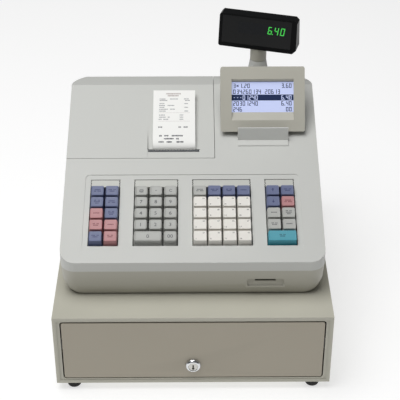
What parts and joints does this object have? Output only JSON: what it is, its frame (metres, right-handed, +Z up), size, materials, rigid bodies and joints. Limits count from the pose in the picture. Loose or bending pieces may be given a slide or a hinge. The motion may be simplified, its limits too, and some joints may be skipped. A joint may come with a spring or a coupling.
{
  "type": "cash register",
  "caption": "Electronic cash register: moulded console with sloping keyboard, receipt printer, operator and customer displays, on a steel drawer cabinet.",
  "frame": {"origin": "on the counter, centre of the whole register's box", "axes": "+X to the operator's right, +Y away from the operator, +Z up"},
  "size_m": [0.355, 0.424, 0.3765],
  "materials": {
    "cabinet_paint": "textured",
    "drawer_paint": "textured",
    "zinc_steel": "satin",
    "black_rubber": "matte",
    "till_plastic": "matte",
    "clip_plastic": "matte",
    "lock_chrome": "polished",
    "lock_steel": "satin",
    "case_pale": "satin",
    "case_warm": "satin",
    "label_plastic": "matte",
    "frame_plastic": "matte",
    "circuit_board": "satin",
    "core_steel": "satin",
    "black_plastic": "matte",
    "thermal_paper": "matte",
    "blade_steel": "brushed",
    "screen_glass": "glossy",
    "black_gloss": "glossy",
    "window_tint": "glossy",
    "key_pink": "satin",
    "key_blue": "satin",
    "key_cyan": "satin",
    "key_grey": "satin",
    "key_white": "satin"
  },
  "bodies": {
    "register": {"cabinet_shell": "cabinet_paint", "cabinet_rails": "zinc_steel", "rubber_feet": "black_rubber", "case_base": "case_warm", "case_top": "case_pale", "case_screws": "zinc_steel", "bank_labels": "label_plastic", "key_frame": "frame_plastic", "key_board": "circuit_board", "transformer": "core_steel", "card_slot": "black_plastic", "cord_gland": "black_plastic", "printer_frame": "frame_plastic", "hinge_pins": "zinc_steel", "display_bracket": "case_pale", "display_collar": "case_pale"},
    "drawer": {"drawer_front": "drawer_paint", "drawer_tray": "zinc_steel", "drawer_runners": "zinc_steel", "till_insert": "till_plastic", "clip_rod": "zinc_steel", "lock_bezel": "lock_chrome"},
    "bill_clips": {"bill_clips": "clip_plastic"},
    "lock": {"lock_cylinder": "lock_steel", "lock_cam": "zinc_steel"},
    "printer_cover": {"printer_cover": "case_pale", "tear_bar": "blade_steel", "receipt_paper": "thermal_paper"},
    "platen": {"platen_roller": "black_rubber"},
    "paper_roll": {"paper_roll": "thermal_paper"},
    "operator_display": {"lcd_bezel": "case_warm", "lcd_back": "case_warm", "lcd_screen": "screen_glass"},
    "customer_display": {"display_neck": "case_warm", "head_case": "black_gloss", "head_window": "window_tint", "head_module": "black_plastic"},
    "keys_left_a": {"keys_left_a": "key_pink"},
    "keys_left_b": {"keys_left_b": "key_blue"},
    "key_at": {"key_at": "key_grey"},
    "key_point": {"key_point": "key_grey"},
    "key_clear": {"key_clear": "key_grey"},
    "key_7": {"key_7": "key_grey"},
    "key_8": {"key_8": "key_grey"},
    "key_9": {"key_9": "key_grey"},
    "key_4": {"key_4": "key_grey"},
    "key_5": {"key_5": "key_grey"},
    "key_6": {"key_6": "key_grey"},
    "key_1": {"key_1": "key_grey"},
    "key_2": {"key_2": "key_grey"},
    "key_3": {"key_3": "key_grey"},
    "key_0": {"key_0": "key_grey"},
    "key_00": {"key_00": "key_grey"},
    "keys_sale_a": {"keys_sale_a": "key_white"},
    "keys_sale_b": {"keys_sale_b": "key_white"},
    "keys_sale_c": {"keys_sale_c": "key_white"},
    "keys_sale_d": {"keys_sale_d": "key_white"},
    "keys_right_a": {"keys_right_a": "key_blue"},
    "keys_right_b": {"keys_right_b": "key_grey"},
    "key_total": {"key_total": "key_cyan"}
  },
  "joints": [
    {"name": "drawer_slide", "type": "slide", "parent": "register", "child": "drawer", "axis": [0, -1, 0], "range_m": [0, 0.29]},
    {"name": "clips_lift", "type": "hinge", "parent": "drawer", "child": "bill_clips", "pos_m": [0, 0.1106, 0.0722], "axis": [-1, 0, 0], "range_deg": [0, 50], "stiffness_Nm_per_rad": 0.05, "springref_deg": -28.65},
    {"name": "lock_turn", "type": "hinge", "parent": "drawer", "child": "lock", "pos_m": [0, -0.208, 0.0415], "axis": [0, 1, 0], "range_deg": [0, 90]},
    {"name": "cover_hinge", "type": "hinge", "parent": "register", "child": "printer_cover", "pos_m": [0, 0.147, 0.26467], "axis": [-1, 0, 0], "range_deg": [0, 80]},
    {"name": "roll_turn", "type": "hinge", "parent": "register", "child": "paper_roll", "pos_m": [-0.0246, 0.066, 0.213], "axis": [1, 0, 0], "continuous": true},
    {"name": "platen_turn", "type": "hinge", "parent": "register", "child": "platen", "pos_m": [-0.0246, 0.01836, 0.22416], "axis": [1, 0, 0], "continuous": true},
    {"name": "screen_tilt", "type": "hinge", "parent": "register", "child": "operator_display", "pos_m": [0.0955, 0.0331, 0.2547], "axis": [1, 0, 0], "range_deg": [-5, 20]},
    {"name": "display_swivel", "type": "hinge", "parent": "register", "child": "customer_display", "pos_m": [0.0925, 0.127, 0.3113], "axis": [0, 0, 1], "range_deg": [-164, 60]},
    {"name": "press_keys_left_a", "type": "slide", "parent": "register", "child": "keys_left_a", "axis": [0, 0.3486, -0.9373], "range_m": [0, 0.0035], "stiffness_N_per_m": 160, "springref_m": -0.002},
    {"name": "press_keys_left_b", "type": "slide", "parent": "register", "child": "keys_left_b", "axis": [0, 0.3486, -0.9373], "range_m": [0, 0.0035], "stiffness_N_per_m": 160, "springref_m": -0.002},
    {"name": "press_key_at", "type": "slide", "parent": "register", "child": "key_at", "axis": [0, 0.3486, -0.9373], "range_m": [0, 0.0035], "stiffness_N_per_m": 160, "springref_m": -0.002},
    {"name": "press_key_point", "type": "slide", "parent": "register", "child": "key_point", "axis": [0, 0.3486, -0.9373], "range_m": [0, 0.0035], "stiffness_N_per_m": 160, "springref_m": -0.002},
    {"name": "press_key_clear", "type": "slide", "parent": "register", "child": "key_clear", "axis": [0, 0.3486, -0.9373], "range_m": [0, 0.0035], "stiffness_N_per_m": 160, "springref_m": -0.002},
    {"name": "press_key_7", "type": "slide", "parent": "register", "child": "key_7", "axis": [0, 0.3486, -0.9373], "range_m": [0, 0.0035], "stiffness_N_per_m": 160, "springref_m": -0.002},
    {"name": "press_key_8", "type": "slide", "parent": "register", "child": "key_8", "axis": [0, 0.3486, -0.9373], "range_m": [0, 0.0035], "stiffness_N_per_m": 160, "springref_m": -0.002},
    {"name": "press_key_9", "type": "slide", "parent": "register", "child": "key_9", "axis": [0, 0.3486, -0.9373], "range_m": [0, 0.0035], "stiffness_N_per_m": 160, "springref_m": -0.002},
    {"name": "press_key_4", "type": "slide", "parent": "register", "child": "key_4", "axis": [0, 0.3486, -0.9373], "range_m": [0, 0.0035], "stiffness_N_per_m": 160, "springref_m": -0.002},
    {"name": "press_key_5", "type": "slide", "parent": "register", "child": "key_5", "axis": [0, 0.3486, -0.9373], "range_m": [0, 0.0035], "stiffness_N_per_m": 160, "springref_m": -0.002},
    {"name": "press_key_6", "type": "slide", "parent": "register", "child": "key_6", "axis": [0, 0.3486, -0.9373], "range_m": [0, 0.0035], "stiffness_N_per_m": 160, "springref_m": -0.002},
    {"name": "press_key_1", "type": "slide", "parent": "register", "child": "key_1", "axis": [0, 0.3486, -0.9373], "range_m": [0, 0.0035], "stiffness_N_per_m": 160, "springref_m": -0.002},
    {"name": "press_key_2", "type": "slide", "parent": "register", "child": "key_2", "axis": [0, 0.3486, -0.9373], "range_m": [0, 0.0035], "stiffness_N_per_m": 160, "springref_m": -0.002},
    {"name": "press_key_3", "type": "slide", "parent": "register", "child": "key_3", "axis": [0, 0.3486, -0.9373], "range_m": [0, 0.0035], "stiffness_N_per_m": 160, "springref_m": -0.002},
    {"name": "press_key_0", "type": "slide", "parent": "register", "child": "key_0", "axis": [0, 0.3486, -0.9373], "range_m": [0, 0.0035], "stiffness_N_per_m": 160, "springref_m": -0.002},
    {"name": "press_key_00", "type": "slide", "parent": "register", "child": "key_00", "axis": [0, 0.3486, -0.9373], "range_m": [0, 0.0035], "stiffness_N_per_m": 160, "springref_m": -0.002},
    {"name": "press_keys_sale_a", "type": "slide", "parent": "register", "child": "keys_sale_a", "axis": [0, 0.3486, -0.9373], "range_m": [0, 0.0035], "stiffness_N_per_m": 160, "springref_m": -0.002},
    {"name": "press_keys_sale_b", "type": "slide", "parent": "register", "child": "keys_sale_b", "axis": [0, 0.3486, -0.9373], "range_m": [0, 0.0035], "stiffness_N_per_m": 160, "springref_m": -0.002},
    {"name": "press_keys_sale_c", "type": "slide", "parent": "register", "child": "keys_sale_c", "axis": [0, 0.3486, -0.9373], "range_m": [0, 0.0035], "stiffness_N_per_m": 160, "springref_m": -0.002},
    {"name": "press_keys_sale_d", "type": "slide", "parent": "register", "child": "keys_sale_d", "axis": [0, 0.3486, -0.9373], "range_m": [0, 0.0035], "stiffness_N_per_m": 160, "springref_m": -0.002},
    {"name": "press_keys_right_a", "type": "slide", "parent": "register", "child": "keys_right_a", "axis": [0, 0.3486, -0.9373], "range_m": [0, 0.0035], "stiffness_N_per_m": 160, "springref_m": -0.002},
    {"name": "press_keys_right_b", "type": "slide", "parent": "register", "child": "keys_right_b", "axis": [0, 0.3486, -0.9373], "range_m": [0, 0.0035], "stiffness_N_per_m": 160, "springref_m": -0.002},
    {"name": "press_key_total", "type": "slide", "parent": "register", "child": "key_total", "axis": [0, 0.3486, -0.9373], "range_m": [0, 0.0035], "stiffness_N_per_m": 160, "springref_m": -0.002}
  ],
  "couplings": [
    {"joint": "platen_turn", "follows": "roll_turn", "ratio": -5.3333}
  ]
}
